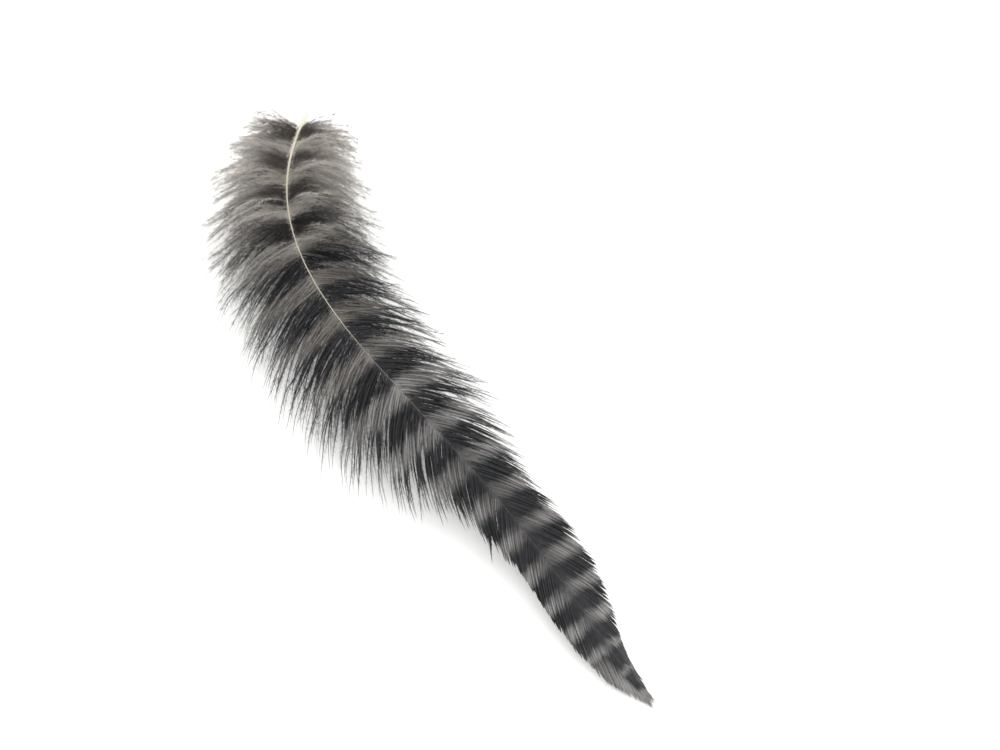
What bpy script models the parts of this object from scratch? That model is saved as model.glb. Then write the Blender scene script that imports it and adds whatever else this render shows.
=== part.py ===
"""A barred rooster saddle feather, lying on its underside with its tip towards -Y.

The feather grew as one piece, so it is one closed solid: the bare quill and the shaft, and fused to them the locks
that its barbs lie in. Beyond the shaft's middle each side has one row of flat locks, which make the vane. Nearer
the quill there are three rows of soft locks, one above another, which make the down.
The origin is at the middle of the footprint, on the surface that the feather lies on. Metres, +Z up.
"""

import math

import bmesh
import bpy
import numpy as np
from mathutils import Vector

MM = 0.001

# The shaft, from the quill's end to its tip
SHAFT_LENGTH = 146.0 * MM
QUILL_LENGTH = 8.0 * MM
QUILL_RADIUS = 0.6 * MM
QUILL_END_RADIUS = 0.25 * MM
SHAFT_TIP_RADIUS = 0.16 * MM
# The shaft thins out fast at first, as this power of what is left of its length
SHAFT_TAPER_POWER = 2.0
SHAFT_POINTS = 38
# Its curve seen from above: degrees away from -Y, as the controls of a Bezier curve from the quill to the tip
SHAFT_HEADINGS = (-37.1, -25.9, 52.7, -3.9, 9.0)
# Its height above the surface at the quill and at the tip, and how far it arches above the line between them
QUILL_HEIGHT = 8.0 * MM
TIP_HEIGHT = 1.0 * MM
ARCH = 5.5 * MM

# The barbs, by the distance of their root from the shaft's tip in millimetres: their length in millimetres, and
# the degrees between them and the shaft at their root and at their end
BARB_STATIONS = (0.0, 5.0, 10.0, 16.0, 25.0, 32.0, 43.0, 53.0, 63.0, 78.0, 90.0, 105.0, 120.0, 131.0, 138.0)
BARB_LENGTHS = (4.4, 6.7, 8.6, 11.4, 11.8, 12.6, 15.4, 16.9, 20.9, 25.0, 24.2, 22.2, 21.6, 20.0, 16.0)
BARB_ROOT_ANGLES = (9.0, 16.0, 21.0, 24.0, 32.0, 35.0, 38.0, 43.0, 50.0, 64.0, 68.0, 70.0, 75.0, 82.0, 94.0)
BARB_END_ANGLES = (3.0, 6.0, 9.0, 10.0, 16.0, 17.0, 18.0, 21.0, 26.0, 36.0, 40.0, 44.0, 49.0, 62.0, 78.0)
# The barbs of the -X side are longer by this share and those of the +X side shorter, by the same stations, or
# the other way round where it is below 0
UNEVEN_SHARES = (0.04, 0.08, 0.17, 0.16, 0.0, -0.15, -0.1, 0.0, 0.06, 0.1, 0.04, -0.02, 0.0, 0.0, 0.0)

LOCK_POINTS = 6
# How far each lock starts past the shaft's middle, so that the two sides cross there
ROOT_OVERLAP = 0.15 * MM
LOCK_SIDES = 6
# A lock swells from this share of its width at the shaft to all of it here along its length, and then narrows,
# slowly at first by this power, to this share of its width at its end
LOCK_ROOT_WIDTH = 0.75
LOCK_FULL_TO = 0.5
LOCK_TAPER_POWER = 1.4
LOCK_END_WIDTH = 0.12
# Barbs nearly along the shaft would give needle-thin locks, so a lock is at least as wide as at this angle
LEAST_WIDTH_ANGLE = 20.0
# The straight lock past the shaft's tip: where it starts before the tip, and its half width
TIP_LOCK_START = 5.0 * MM
TIP_LOCK_HALF_WIDTH = 1.3 * MM
# Small irregularities: share of a lock's length, degrees of its direction, share of the spacing of its root
LENGTH_WOBBLE = 0.07
TURN_WOBBLE = 3.0
ROOT_WOBBLE = 0.12
# Locks that would hang below the surface lie along it, this far above it
CLEAR_OF_FLOOR = 0.02 * MM
WELD_DISTANCE = 0.002 * MM


class Row:
    """One row of locks along both sides of the shaft."""

    def __init__(self, first, last, count, spread, lift, droop, reach, width, flatness):
        self.first = first * MM
        self.last = last * MM
        self.count = count
        self.spread = spread
        self.lift = math.radians(lift)
        self.droop = math.radians(droop)
        self.reach = reach
        self.width = width
        self.flatness = flatness


# first and last: roots' distance from the shaft's tip in millimetres. spread: how much the spacing grows along the
# row. lift and droop: degrees above the surface at the root, and how far that turns down by the end. reach: share
# of the barb's length. width: share of the spacing that a lock covers. flatness: thickness over width.
ROWS = {
    "vane": Row(4.0, 68.0, 13, 1.7, -4.0, 12.0, 1.0, 1.5, 0.22),
    "side_down": Row(74.0, 136.0, 9, 1.0, -6.0, 18.0, 1.0, 1.35, 0.42),
    "under_down": Row(70.0, 133.0, 8, 1.0, -30.0, 6.0, 0.92, 1.2, 0.42),
    "upper_down": Row(94.0, 133.0, 5, 1.0, 28.0, 26.0, 0.75, 1.2, 0.45),
}


def clear_scene():
    for obj in list(bpy.data.objects):
        bpy.data.objects.remove(obj, do_unlink=True)


def new_collection(name):
    made = bpy.data.collections.new(name)
    bpy.context.scene.collection.children.link(made)
    return made


def bezier(controls, share):
    last = len(controls) - 1
    rest = 1.0 - share
    return sum(math.comb(last, k) * c * rest ** (last - k) * share**k for k, c in enumerate(controls))


def shaft_height(share):
    line = QUILL_HEIGHT * (1.0 - share) + TIP_HEIGHT * share
    return line + ARCH * 4.0 * share * (1.0 - share)


def shaft_line(count=400):
    """Points along the shaft's middle from the quill's end to its tip, evenly spaced."""
    share = np.linspace(0.0, 1.0, count)
    step = SHAFT_LENGTH / (count - 1)
    heading = np.radians(bezier(SHAFT_HEADINGS, share))
    height = shaft_height(share)
    level = np.sqrt(step**2 - np.diff(height) ** 2)
    ahead = 0.5 * (heading[1:] + heading[:-1])
    x = np.concatenate([[0.0], np.cumsum(np.sin(ahead) * level)])
    y = np.concatenate([[0.0], np.cumsum(-np.cos(ahead) * level)])
    return np.stack([x, y, height], axis=1)


LINE = shaft_line()


def shaft_point(from_tip):
    share = (1.0 - from_tip / SHAFT_LENGTH) * (len(LINE) - 1)
    places = np.arange(len(LINE))
    return Vector([float(np.interp(share, places, LINE[:, k])) for k in range(3)])


def shaft_ahead(from_tip):
    """The direction towards the tip at this distance from it."""
    half = 0.5 * MM
    near = min(max(from_tip, half), SHAFT_LENGTH - half)
    return (shaft_point(near - half) - shaft_point(near + half)).normalized()


def barb_value(values, from_tip):
    return float(np.interp(from_tip / MM, BARB_STATIONS, values))


def wobble(lock, kind):
    """A fixed number from -1 to 1 for this lock, for its small irregularities."""
    return math.sin(12.9898 * (lock + 1) + 4.1414 * kind)


def side_share(from_tip, side):
    return 1.0 - side * barb_value(UNEVEN_SHARES, from_tip)


def lock_path(from_tip, side, lift, droop, reach, lock):
    """The middle line of one lock, which leaves the shaft and turns towards the tip and down to the surface."""
    length = barb_value(BARB_LENGTHS, from_tip) * MM * reach * side_share(from_tip, side)
    length *= 1.0 + LENGTH_WOBBLE * wobble(lock, 1)
    turn = math.radians(TURN_WOBBLE) * wobble(lock, 2)
    root_angle = math.radians(barb_value(BARB_ROOT_ANGLES, from_tip)) + turn
    end_angle = math.radians(barb_value(BARB_END_ANGLES, from_tip)) + turn
    ahead = shaft_ahead(from_tip)
    level_side = ahead.cross(Vector((0.0, 0.0, 1.0))).normalized() * -side
    point = shaft_point(from_tip) - level_side * ROOT_OVERLAP
    points = [point.copy()]
    step = length / (LOCK_POINTS - 1)
    for k in range(LOCK_POINTS - 1):
        share = (k + 0.5) / (LOCK_POINTS - 1)
        angle = root_angle + (end_angle - root_angle) * share
        rise = lift - droop * share
        outward = level_side * math.cos(rise) + Vector((0.0, 0.0, math.sin(rise)))
        point = point + (ahead * math.cos(angle) + outward * math.sin(angle)) * step
        points.append(point.copy())
    return points


def lock_profile(share):
    """Width of a lock along its length: it swells a little to its middle, then is drawn to a point."""
    swell = math.sin(0.5 * math.pi * min(1.0, share / LOCK_FULL_TO))
    belly = LOCK_ROOT_WIDTH + (1.0 - LOCK_ROOT_WIDTH) * swell
    taper = max(0.0, share - LOCK_FULL_TO) / (1.0 - LOCK_FULL_TO)
    return belly * (1.0 - (1.0 - LOCK_END_WIDTH) * taper**LOCK_TAPER_POWER)


def row_roots(row):
    share = np.linspace(0.0, 1.0, row.count)
    grown = share * (2.0 + (row.spread - 1.0) * share) / (1.0 + row.spread)
    return row.first + (row.last - row.first) * grown


def lock_splines(row, first_lock):
    """For each lock of the row, its points and its half width at each of them."""
    roots = row_roots(row)
    spacing = np.gradient(roots)
    found = []
    for k, from_tip in enumerate(roots):
        for side in (1, -1):
            lock = first_lock + 2 * k + (side < 0)
            shift = ROOT_WOBBLE * spacing[k] * wobble(lock, 3)
            points = lock_path(from_tip + shift, side, row.lift, row.droop, row.reach, lock)
            mean_angle = 0.5 * (barb_value(BARB_ROOT_ANGLES, from_tip) + barb_value(BARB_END_ANGLES, from_tip))
            across = math.sin(math.radians(max(mean_angle, LEAST_WIDTH_ANGLE)))
            half = 0.5 * spacing[k] * row.width * across
            widths = [half * lock_profile(j / (LOCK_POINTS - 1)) for j in range(LOCK_POINTS)]
            found.append(rest_on_floor(points, widths, row.flatness))
    return found


def rest_on_floor(points, widths, flatness):
    """Lays whatever would hang below the surface along it."""
    for point, half in zip(points, widths):
        point.z = max(point.z, half * flatness + CLEAR_OF_FLOOR)
    return points, widths


def make_curve(name, splines, profile, collection):
    """A curve object of one poly spline for each (points, radii), swept with the profile or round."""
    curve = bpy.data.curves.new(name, "CURVE")
    curve.dimensions = "3D"
    curve.twist_mode = "Z_UP"
    curve.use_fill_caps = True
    if profile is None:
        curve.bevel_depth = MM
        curve.bevel_resolution = 1
    else:
        curve.bevel_mode = "OBJECT"
        curve.bevel_object = profile
    for points, radii in splines:
        spline = curve.splines.new("POLY")
        spline.points.add(len(points) - 1)
        for target, point, radius in zip(spline.points, points, radii):
            target.co = (*point, 1.0)
            target.radius = radius / MM
    obj = bpy.data.objects.new(name, curve)
    collection.objects.link(obj)
    return obj


def make_profile(name, flatness, collection):
    """A flattened hexagon, 1 mm from its middle to its two thin edges."""
    curve = bpy.data.curves.new(name, "CURVE")
    curve.dimensions = "2D"
    spline = curve.splines.new("POLY")
    spline.points.add(LOCK_SIDES - 1)
    for k, target in enumerate(spline.points):
        turn = 2.0 * math.pi * k / LOCK_SIDES
        target.co = (MM * math.cos(turn), MM * flatness * math.sin(turn), 0.0, 1.0)
    spline.use_cyclic_u = True
    obj = bpy.data.objects.new(name, curve)
    collection.objects.link(obj)
    obj.hide_render = True
    return obj


def curve_to_mesh(curve_object, collection):
    """The swept curve as a mesh object with its caps welded, in the curve object's place."""
    graph = bpy.context.evaluated_depsgraph_get()
    evaluated = curve_object.evaluated_get(graph)
    mesh = bpy.data.meshes.new_from_object(evaluated)
    work = bmesh.new()
    work.from_mesh(mesh)
    bmesh.ops.remove_doubles(work, verts=work.verts, dist=1e-7)
    bmesh.ops.recalc_face_normals(work, faces=work.faces)
    work.to_mesh(mesh)
    work.free()
    name = curve_object.name
    matrix = curve_object.matrix_world.copy()
    bpy.data.objects.remove(curve_object)
    mesh.name = name
    obj = bpy.data.objects.new(name, mesh)
    obj.matrix_world = matrix
    collection.objects.link(obj)
    return obj


def make_shaft(collection):
    """The bare quill, narrow at its very end, and the shaft that thins out to the tip."""
    points = []
    radii = []
    for k in range(SHAFT_POINTS):
        from_quill = SHAFT_LENGTH * k / (SHAFT_POINTS - 1)
        if from_quill < QUILL_LENGTH * 0.5:
            share = from_quill / (QUILL_LENGTH * 0.5)
            radius = QUILL_END_RADIUS + (QUILL_RADIUS - QUILL_END_RADIUS) * share
        else:
            left = (SHAFT_LENGTH - from_quill) / (SHAFT_LENGTH - QUILL_LENGTH * 0.5)
            radius = SHAFT_TIP_RADIUS + (QUILL_RADIUS - SHAFT_TIP_RADIUS) * left**SHAFT_TAPER_POWER
        points.append(shaft_point(SHAFT_LENGTH - from_quill))
        radii.append(radius)
    return curve_to_mesh(make_curve("feather", [(points, radii)], None, collection), collection)


def make_tip_lock(row):
    """The last lock, straight on from the shaft's end."""
    ahead = shaft_ahead(0.0)
    start = shaft_point(TIP_LOCK_START)
    length = TIP_LOCK_START + barb_value(BARB_LENGTHS, 0.0) * MM
    shares = [k / (LOCK_POINTS - 1) for k in range(LOCK_POINTS)]
    points = [start + ahead * (length * share) for share in shares]
    widths = [TIP_LOCK_HALF_WIDTH * lock_profile(share) for share in shares]
    return rest_on_floor(points, widths, row.flatness)


def make_locks(collection):
    """One mesh for each row of locks."""
    made = []
    first_lock = 0
    for name, row in ROWS.items():
        splines = lock_splines(row, first_lock)
        if name == "vane":
            splines.append(make_tip_lock(row))
        first_lock += len(splines)
        profile = make_profile(name + "_profile", row.flatness, collection)
        made.append(curve_to_mesh(make_curve(name, splines, profile, collection), collection))
        bpy.data.objects.remove(profile)
    return made


def footprint_middle(objects):
    """The middle of the objects' box in plan, and its lowest height."""
    corners = [v.co for obj in objects for v in obj.data.vertices]
    low = [min(co[k] for co in corners) for k in range(3)]
    high = [max(co[k] for co in corners) for k in range(3)]
    return Vector(((low[0] + high[0]) / 2, (low[1] + high[1]) / 2, low[2]))


def recentre(objects):
    middle = footprint_middle(objects)
    for obj in objects:
        for vertex in obj.data.vertices:
            vertex.co -= middle
    return middle


def feather_material():
    """The mean of the dark bars and the pale ones."""
    made = bpy.data.materials.new("barred_feather")
    made.use_nodes = True
    shader = made.node_tree.nodes["Principled BSDF"]
    shader.inputs["Base Color"].default_value = (0.12, 0.115, 0.105, 1.0)
    shader.inputs["Roughness"].default_value = 0.6
    shader.inputs["Metallic"].default_value = 0.0
    return made


def fuse(body, lock_collection):
    """Fuses the locks to the shaft and to each other, and makes the result the body's own mesh."""
    union = body.modifiers.new("locks fused to the shaft", "BOOLEAN")
    union.operation = "UNION"
    union.operand_type = "COLLECTION"
    union.collection = lock_collection
    union.solver = "EXACT"
    union.use_self = True
    graph = bpy.context.evaluated_depsgraph_get()
    fused = bpy.data.meshes.new_from_object(body.evaluated_get(graph))
    body.modifiers.remove(union)
    drop_specks(fused)
    body.data = fused


def shell_of(first_face):
    """The faces that are joined to this one across edges of two faces."""
    found = {first_face}
    waiting = [first_face]
    while waiting:
        face = waiting.pop()
        for edge in face.edges:
            if edge.is_manifold:
                waiting.extend(near for near in edge.link_faces if near not in found)
                found.update(edge.link_faces)
    return found


def drop_specks(mesh):
    """Deletes the few-sided specks that a union leaves where two locks graze each other."""
    work = bmesh.new()
    work.from_mesh(mesh)
    bmesh.ops.triangulate(work, faces=work.faces)
    bmesh.ops.remove_doubles(work, verts=work.verts, dist=WELD_DISTANCE)
    bmesh.ops.dissolve_degenerate(work, edges=work.edges, dist=WELD_DISTANCE)
    bmesh.ops.triangulate(work, faces=work.faces)
    body = shell_of(max(work.faces, key=lambda face: face.calc_area()))
    specks = [face for face in work.faces if face not in body]
    bmesh.ops.delete(work, geom=specks, context="FACES")
    work.to_mesh(mesh)
    work.free()


def main():
    clear_scene()
    parts = new_collection("rooster_saddle_feather")
    helpers = new_collection("feather_locks")
    feather = make_shaft(parts)
    locks = make_locks(helpers)
    recentre([feather, *locks])
    for lock in locks:
        lock.hide_render = True
        lock.display_type = "WIRE"
    fuse(feather, helpers)
    feather.data.materials.clear()
    feather.data.materials.append(feather_material())


main()
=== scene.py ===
"""The looks of a barred rooster saddle feather: its shaft, barred vane, loose fringe and down.

Every barb is a closed strand that grows out of the shaft by the rule that the CAD solid's locks follow, so
the barbs fill those locks and end where they end. The bars are a procedural pattern along the shaft.
"""

import logging
import math
from dataclasses import dataclass
from enum import Enum

import bpy
import numpy as np
from mathutils import Euler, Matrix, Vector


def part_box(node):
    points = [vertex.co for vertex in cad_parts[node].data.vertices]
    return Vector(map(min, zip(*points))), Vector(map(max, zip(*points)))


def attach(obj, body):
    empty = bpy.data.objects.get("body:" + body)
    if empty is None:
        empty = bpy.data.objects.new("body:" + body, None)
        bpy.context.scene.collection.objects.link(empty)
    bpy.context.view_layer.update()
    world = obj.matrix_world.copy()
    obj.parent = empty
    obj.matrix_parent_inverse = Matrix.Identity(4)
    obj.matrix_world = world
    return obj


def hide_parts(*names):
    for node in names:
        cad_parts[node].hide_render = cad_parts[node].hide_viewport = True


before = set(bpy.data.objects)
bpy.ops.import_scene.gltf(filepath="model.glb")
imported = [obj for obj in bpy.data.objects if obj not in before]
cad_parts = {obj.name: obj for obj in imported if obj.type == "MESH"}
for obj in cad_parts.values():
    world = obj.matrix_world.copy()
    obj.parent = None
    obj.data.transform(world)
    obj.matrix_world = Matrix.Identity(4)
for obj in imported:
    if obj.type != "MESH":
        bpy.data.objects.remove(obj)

MM = 0.001
NODE = "feather"
BODY = "root"
PLAN_MAP = "BarPlan"
BAKE_MAP = "OFBake"
TONE = "tone"
PALE_EDGE = "pale_edge"
# The bar number that the plan map holds as 1
MOST_BARS = 32.0
MARGIN_OF_BAKE_MAP = 0.03
HAIR_SIDES = 3
UNEVEN_SPACING = 0.3
FIRST_ROOT = 0.05 * MM
SEED = 14
# What the sine of an irregularity turns by from lock to lock, and from one kind to the next
WOBBLE_STEPS = (12.9898, 4.1414)

Socket = bpy.types.NodeSocket
Pair = tuple[float, float]
Triple = tuple[float, float, float]
Numbers = tuple[float, ...]

log = logging.getLogger("saddle_feather")


class Side(Enum):
    """The two sides of the shaft, by the sign of X on them."""

    PLUS_X = 1
    MINUS_X = -1


class Wobble(Enum):
    """What is irregular in the locks: their length, their direction and where they stand."""

    LENGTH = 1
    TURN = 2
    ROOT = 3


def linear_colour(hex_colour: str) -> tuple[float, float, float, float]:
    """Turn an sRGB hex colour into the linear RGBA that shader sockets take.

    Args:
        hex_colour: Six hex digits, with or without a leading hash.

    Returns:
        Linear red, green, blue and an alpha of 1.
    """
    digits = hex_colour.lstrip("#")
    parts = [int(digits[k : k + 2], 16) / 255 for k in (0, 2, 4)]
    straight = [part / 12.92 if part <= 0.04045 else ((part + 0.055) / 1.055) ** 2.4 for part in parts]
    return (straight[0], straight[1], straight[2], 1.0)


def set_node(tree: bpy.types.NodeTree, node: bpy.types.Node, settings: dict[str | int, object]) -> None:
    """Set a node's properties and input values, and link its inputs.

    Args:
        tree: The node tree that the node is in.
        node: The node.
        settings: Values by property name, or by input name or number. A socket is linked to its input.
    """
    for name, value in settings.items():
        if isinstance(value, Socket):
            tree.links.new(value, node.inputs[name])
        elif isinstance(name, int) or name in node.inputs:
            node.inputs[name].default_value = value
        else:
            setattr(node, name, value)


def add_node(tree: bpy.types.NodeTree, kind: str, settings: dict[str | int, object]) -> bpy.types.Node:
    """Add a node with its settings and links.

    Args:
        tree: The node tree to add to.
        kind: The node's type.
        settings: Values or sockets, as set_node takes them.

    Returns:
        The node.
    """
    node = tree.nodes.new(kind)
    set_node(tree, node, settings)
    return node


@dataclass(frozen=True)
class ShaftLine:
    """The middle line of the shaft, the same curve as the CAD solid's.

    headings are degrees away from -Y, as the controls of a Bezier curve from the quill to the tip.
    quill_place is where the quill's end is in plan.
    """

    length: float = 146.0 * MM
    headings: Numbers = (-37.1, -25.9, 52.7, -3.9, 9.0)
    quill_height: float = 7.94 * MM
    tip_height: float = 0.94 * MM
    arch: float = 5.5 * MM
    quill_place: Pair = (14.82 * MM, 71.65 * MM)
    opening: float = 4.0 * MM
    end_radius: float = 0.23 * MM
    quill_radius: float = 0.52 * MM
    tip_radius: float = 0.085 * MM
    taper_power: float = 5.2
    steps: int = 400

    def points(self) -> np.ndarray:
        """Work the line out from its headings and heights.

        Returns:
            Evenly spaced points, from the quill's end to the tip.
        """
        share = np.linspace(0.0, 1.0, self.steps)
        rest = 1.0 - share
        last = len(self.headings) - 1
        bends = (math.comb(last, k) * h * rest ** (last - k) * share**k for k, h in enumerate(self.headings))
        heading = np.radians(sum(bends))
        height = self.quill_height * rest + self.tip_height * share + self.arch * 4.0 * share * rest
        step = self.length / (self.steps - 1)
        level = np.sqrt(step**2 - np.diff(height) ** 2)
        ahead = 0.5 * (heading[1:] + heading[:-1])
        x = np.concatenate([[0.0], np.cumsum(np.sin(ahead) * level)])
        y = np.concatenate([[0.0], np.cumsum(-np.cos(ahead) * level)])
        return np.stack([x + self.quill_place[0], y + self.quill_place[1], height], axis=1)

    def at(self, from_tip: np.ndarray) -> np.ndarray:
        """Read the line.

        Args:
            from_tip: Distances from the line's tip.

        Returns:
            The points of the line there.
        """
        line = self.points()
        share = (1.0 - from_tip / self.length) * (self.steps - 1)
        places = np.arange(self.steps)
        return np.stack([np.interp(share, places, line[:, k]) for k in range(3)], axis=-1)

    def ahead(self, from_tip: np.ndarray) -> np.ndarray:
        """Find which way the line runs.

        Args:
            from_tip: Distances from the line's tip.

        Returns:
            The unit directions towards the tip there.
        """
        half = 0.5 * MM
        near = np.clip(from_tip, half, self.length - half)
        return unit(self.at(near - half) - self.at(near + half))

    def radius(self, from_tip: np.ndarray) -> np.ndarray:
        """Say how thick the shaft is: narrow at the quill's very end, and thinning out fast to the tip.

        Args:
            from_tip: Distances from the shaft's tip.

        Returns:
            The shaft's radius there.
        """
        past = np.clip((self.length - from_tip) / self.opening, 0.0, 1.0)
        swelling = self.end_radius + (self.quill_radius - self.end_radius) * np.sin(0.5 * math.pi * past)
        left = np.clip(from_tip / (self.length - self.opening), 0.0, 1.0)
        thinning = self.tip_radius + (self.quill_radius - self.tip_radius) * left**self.taper_power
        return np.minimum(swelling, thinning)


@dataclass(frozen=True)
class Growth:
    """How long the barbs are and how they leave the shaft, by their root's distance from the shaft's tip.

    stations and lengths are in millimetres, and the angles, from the shaft, in degrees. uneven is the share
    by which the barbs of the -X side are longer and those of the +X side shorter.
    """

    stations: Numbers = (0, 5, 10, 16, 25, 32, 43, 53, 63, 78, 90, 105, 120, 131, 138)
    lengths: Numbers = (
        4.4, 6.7, 8.6, 11.4, 11.8, 12.6, 15.4, 16.9, 20.9, 25.0, 24.2, 22.2, 21.6, 20.0, 16.0
    )
    root_angles: Numbers = (9, 16, 21, 24, 32, 35, 38, 43, 50, 64, 68, 70, 75, 82, 94)
    end_angles: Numbers = (3, 6, 9, 10, 16, 17, 18, 21, 26, 36, 40, 44, 49, 62, 78)
    uneven: Numbers = (0.04, 0.08, 0.17, 0.16, 0, -0.15, -0.1, 0, 0.06, 0.1, 0.04, -0.02, 0, 0, 0)

    def read(self, values: Numbers, from_tip: np.ndarray) -> np.ndarray:
        """One of the lists above, read at these distances in metres."""
        return np.interp(from_tip / MM, self.stations, values)


@dataclass(frozen=True)
class LockRow:
    """One row of the locks that barbs lie in, the same rows as the CAD solid's.

    first and last are the roots' distances from the shaft's tip. spread says how much the spacing grows
    along the row. lift and droop are degrees above the surface at the root, and how far that turns down by
    the end. reach is the share of the barb's length that the row's locks have.
    """

    first: float
    last: float
    count: int
    spread: float
    lift: float
    droop: float
    reach: float
    first_lock: int

    def roots(self) -> np.ndarray:
        """Space the locks along their row.

        Returns:
            The distances of their roots from the shaft's tip.
        """
        share = np.linspace(0.0, 1.0, self.count)
        grown = share * (2.0 + (self.spread - 1.0) * share) / (1.0 + self.spread)
        return self.first + (self.last - self.first) * grown

    def spacing(self) -> np.ndarray:
        """The distance between neighbouring locks, at each lock."""
        return np.gradient(self.roots())


VANE_ROW = LockRow(4.0 * MM, 68.0 * MM, 13, 1.7, -4.0, 12.0, 1.0, 0)
SIDE_ROW = LockRow(74.0 * MM, 136.0 * MM, 9, 1.0, -6.0, 18.0, 1.0, 27)
UNDER_ROW = LockRow(70.0 * MM, 133.0 * MM, 8, 1.0, -30.0, 6.0, 0.92, 45)
UPPER_ROW = LockRow(94.0 * MM, 133.0 * MM, 5, 1.0, 28.0, 26.0, 0.75, 61)


@dataclass(frozen=True)
class BarRule:
    """Where the dark bars lie, by a number along the shaft that is whole in the middle of a pale bar.

    Past the first dark bar's outer edge, towards the tip, everything is pale.

    first_pitch is the pitch at the shaft's tip, pitch_growth how much it grows for each metre along the
    shaft, and even_from where it stops growing. first_number is the number at the shaft's tip. sweep is how
    far a bar leans towards the tip for each metre that it goes outwards, in the vane and, by side, in the
    down. slip is how far the bars of the +X side lie nearer the quill than those of the -X side, in bars,
    and slip_from where all of it is reached. pale_edge_plus_x is how much of the -X side's pale edge near
    the tip the +X side has.
    """

    first_pitch: float = 3.95 * MM
    pitch_growth: float = 0.095
    even_from: float = 62.0 * MM
    first_number: float = 1.26
    vane_sweep: float = 0.1
    down_sweep_minus_x: float = 0.22
    down_sweep_plus_x: float = 0.02
    sweep_change: Pair = (45.0 * MM, 90.0 * MM)
    slip: float = 0.1
    slip_from: float = 15.0 * MM
    pale_edge_plus_x: float = 0.3

    def number(self, from_tip: np.ndarray) -> np.ndarray:
        """Count the bars along the shaft.

        Args:
            from_tip: Distances from the shaft's tip, or past it where they are negative.

        Returns:
            The bar number at each.
        """
        growing = np.clip(from_tip, 0.0, self.even_from)
        count = np.log1p(self.pitch_growth * growing / self.first_pitch) / self.pitch_growth
        last_pitch = self.first_pitch + self.pitch_growth * self.even_from
        past = np.minimum(from_tip, 0.0) / self.first_pitch
        even = np.maximum(from_tip - self.even_from, 0.0) / last_pitch
        return self.first_number + count + past + even

    def at(self, root: np.ndarray, along: np.ndarray, across: np.ndarray, side: Side) -> np.ndarray:
        """The bar number at points of barbs.

        Args:
            root: The barbs' roots, as distances from the shaft's tip.
            along: How far each point lies towards the tip from its root.
            across: How far each point lies out from the shaft.
            side: The side of the shaft.

        Returns:
            The bar number at each point.
        """
        from_tip = root - along
        change = np.clip((from_tip - self.sweep_change[0]) / np.diff(self.sweep_change)[0], 0.0, 1.0)
        down_sweep = self.down_sweep_plus_x if side is Side.PLUS_X else self.down_sweep_minus_x
        sweep = self.vane_sweep + (down_sweep - self.vane_sweep) * change
        slip = self.slip * np.clip(from_tip / self.slip_from, 0.0, 1.0) * (side is Side.PLUS_X)
        return np.maximum(self.number(from_tip + sweep * across) - slip, 1.0)


def unit(vectors: np.ndarray) -> np.ndarray:
    """Vectors scaled to a length of 1."""
    return vectors / np.maximum(np.linalg.norm(vectors, axis=-1, keepdims=True), 1e-12)


@dataclass
class Strands:
    """Closed strands, each a swept ring that ends in a point.

    points holds each strand's middle line, half_widths and half_heights the ring's two half sizes along it,
    up the direction of its height, bars its bar number, shares how far along its barb each point lies,
    tones a shade of its own from 0 to 1 and pale_edges how much of the pale edge near the feather's tip it
    has.
    """

    points: np.ndarray
    half_widths: np.ndarray
    half_heights: np.ndarray
    up: np.ndarray
    bars: np.ndarray
    shares: np.ndarray
    tones: np.ndarray
    pale_edges: np.ndarray

    def directions(self) -> np.ndarray:
        """The unit direction of each strand at each of its points."""
        return unit(np.gradient(self.points, axis=1))

    def to_object(self, name: str, sides: int, material: bpy.types.Material) -> bpy.types.Object:
        """Make a mesh object of the strands.

        Args:
            name: The object's name.
            sides: How many sides the ring has.
            material: The finish of every face.

        Returns:
            The object, linked to the scene.
        """
        count, steps = self.bars.shape
        rings = steps - 1
        turn = 2 * math.pi * (np.arange(sides) / sides) + math.pi / 2
        out = unit(np.cross(self.directions(), self.up))
        up = unit(np.cross(out, self.directions()))
        ring = (
            self.points[:, :rings, None]
            + out[:, :rings, None] * (self.half_widths[:, :rings, None] * np.cos(turn))[..., None]
            + up[:, :rings, None] * (self.half_heights[:, :rings, None] * np.sin(turn))[..., None]
        )
        vertices = np.concatenate([ring.reshape(count, -1, 3), self.points[:, -1:]], axis=1)
        vertices = vertices.reshape(-1, 3)
        each = rings * sides + 1
        pattern, sizes = strand_faces(rings, sides)
        corners = (pattern[None] + each * np.arange(count)[:, None]).ravel()
        per_vertex = np.concatenate([np.repeat(np.arange(rings), sides), [rings]])
        plan = np.stack([self.bars[:, per_vertex] / MOST_BARS, self.shares[:, per_vertex]], axis=-1)
        mesh = faces_to_mesh(name, vertices, corners, np.tile(sizes, count))
        add_map(mesh, PLAN_MAP, plan.reshape(-1, 2), corners)
        add_map(mesh, BAKE_MAP, top_view(vertices), corners)
        for attribute, values in ((TONE, self.tones), (PALE_EDGE, self.pale_edges)):
            layer = mesh.attributes.new(attribute, "FLOAT", "POINT")
            layer.data.foreach_set("value", np.repeat(values, each).astype(np.float32))
        mesh.materials.append(material)
        piece = bpy.data.objects.new(name, mesh)
        bpy.context.scene.collection.objects.link(piece)
        return piece


def strand_faces(rings: int, sides: int) -> tuple[np.ndarray, np.ndarray]:
    """Lay out the faces of one closed strand: quads between its rings, a point and a flat end.

    Args:
        rings: How many rings it has.
        sides: How many sides a ring has.

    Returns:
        The vertex of each face corner, face after face, and how many corners each face has.
    """
    around = np.arange(sides)
    beside = (around + 1) % sides
    start = np.arange(rings - 1)[:, None] * sides
    first = start + around
    second = start + beside
    quads = np.stack([first, second, second + sides, first + sides], axis=-1).reshape(-1, 4)
    last = (rings - 1) * sides
    tips = np.stack([last + around, last + beside, np.full(sides, rings * sides)], axis=-1)
    pattern = np.concatenate([quads.ravel(), tips.ravel(), around[::-1]])
    sizes = np.concatenate([np.full(len(quads), 4), np.full(sides, 3), [sides]])
    return pattern, sizes


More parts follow.
